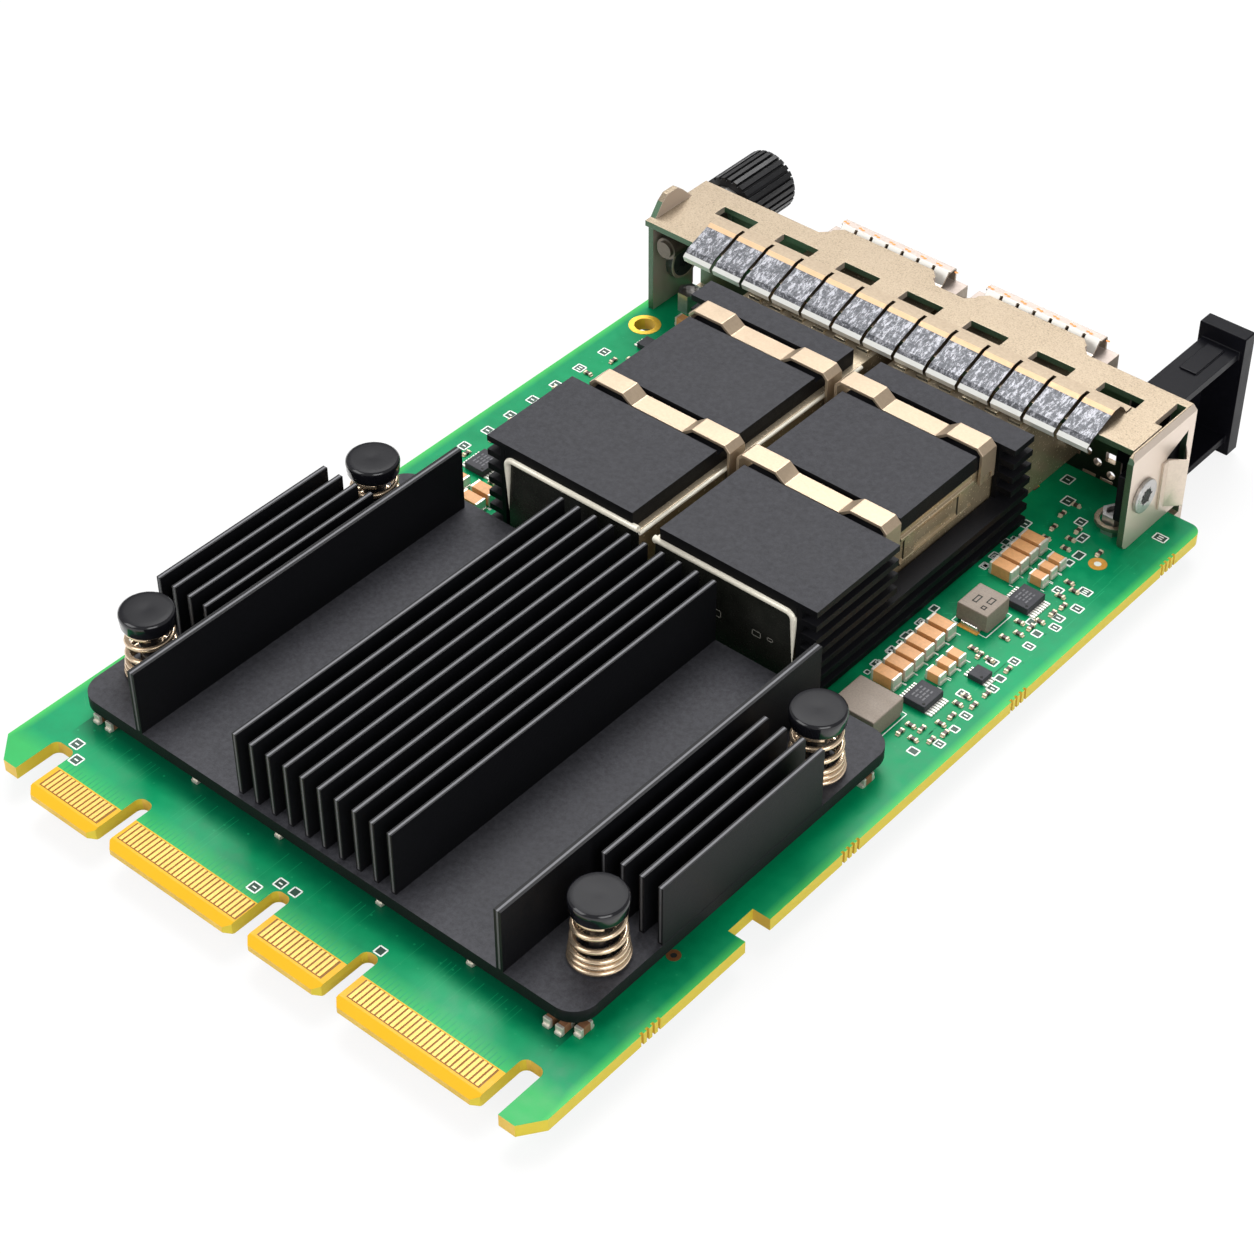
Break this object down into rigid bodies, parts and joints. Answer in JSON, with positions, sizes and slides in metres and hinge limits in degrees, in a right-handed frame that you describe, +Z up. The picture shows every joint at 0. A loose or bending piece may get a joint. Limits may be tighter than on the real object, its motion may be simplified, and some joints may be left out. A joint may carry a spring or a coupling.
{
  "type": "mezzanine network card",
  "caption": "Server mezzanine network card: finned heat sink on sprung push pins, module cages with stepped heat sinks, sheet bracket with pull tab and captive thumbscrew.",
  "frame": {"origin": "centre of the bounding box on the plane that the card rests on (pin barbs and lower edge of the bracket)", "axes": "+Z up from the board's component side, +Y toward the gold edge contacts, -Y out of the bracket face, +X toward the thumbscrew side"},
  "size_m": [0.0762, 0.1316, 0.0194],
  "materials": {
    "board_mask": "green solder mask, satin",
    "contact_gold": "thin gold plating",
    "black_anodised": "black anodised, fine grain",
    "chip_body": "moulded, matte",
    "pad_grey": "soft, matte",
    "pin_black": "smooth moulded",
    "spring_wire": "pale wire",
    "cage_sheet": "warm nickel plated sheet",
    "collar_sheet": "warm nickel plated sheet",
    "clip_sheet": "cream gold spring sheet",
    "bracket_sheet": "speckled warm nickel plate",
    "finger_sheet": "bright spring sheet, mottled",
    "connector_black": "moulded, matte",
    "steel": "plain plated",
    "knob_black": "moulded, satin",
    "tab_black": "moulded, satin",
    "inductor_grey": "pressed powder, matte",
    "ceramic_tan": "ceramic with tinned ends",
    "passive_body": "small chip parts with tinned ends"
  },
  "bodies": {
    "card": {"circuit_board": "board_mask", "edge_contacts_top": "contact_gold", "edge_contacts_bottom": "contact_gold", "plated_hole_ring": "contact_gold", "main_heat_sink": "black_anodised", "controller_chip": "chip_body", "thermal_pad": "pad_grey", "push_pins": "pin_black", "push_pin_springs": "spring_wire", "cage_far": "cage_sheet", "cage_near": "cage_sheet", "cage_connector_far": "connector_black", "cage_connector_near": "connector_black", "cage_collar_far": "collar_sheet", "cage_collar_near": "collar_sheet", "cage_heat_sink_far": "black_anodised", "cage_heat_sink_near": "black_anodised", "strap_clips_far": "clip_sheet", "strap_clips_near": "clip_sheet", "bracket": "bracket_sheet", "finger_strip": "finger_sheet", "side_spring": "finger_sheet", "flange_boss": "steel", "thumbscrew_ferrule": "steel", "pull_tab": "tab_black", "pull_tab_screw": "steel", "bracket_nuts": "steel", "bracket_screws": "steel", "inductor_small": "inductor_grey", "inductor_large": "inductor_grey", "large_capacitors": "ceramic_tan", "small_capacitors": "ceramic_tan", "regulator_chips": "chip_body", "small_chips": "chip_body", "chip_passives": "passive_body", "under_sink_capacitors": "ceramic_tan", "bottom_capacitors": "ceramic_tan"},
    "screw_ring": {"thumbscrew_ring": "steel"},
    "thumbscrew": {"thumbscrew_knob": "knob_black", "thumbscrew_shaft": "steel"}
  },
  "joints": [
    {"name": "thumbscrew_travel", "type": "slide", "parent": "card", "child": "screw_ring", "axis": [0, -1, 0], "range_m": [0, 0.003]},
    {"name": "thumbscrew_turn", "type": "hinge", "parent": "screw_ring", "child": "thumbscrew", "pos_m": [0.0341, -0.04585, 0.01367], "axis": [0, -1, 0], "continuous": true}
  ]
}
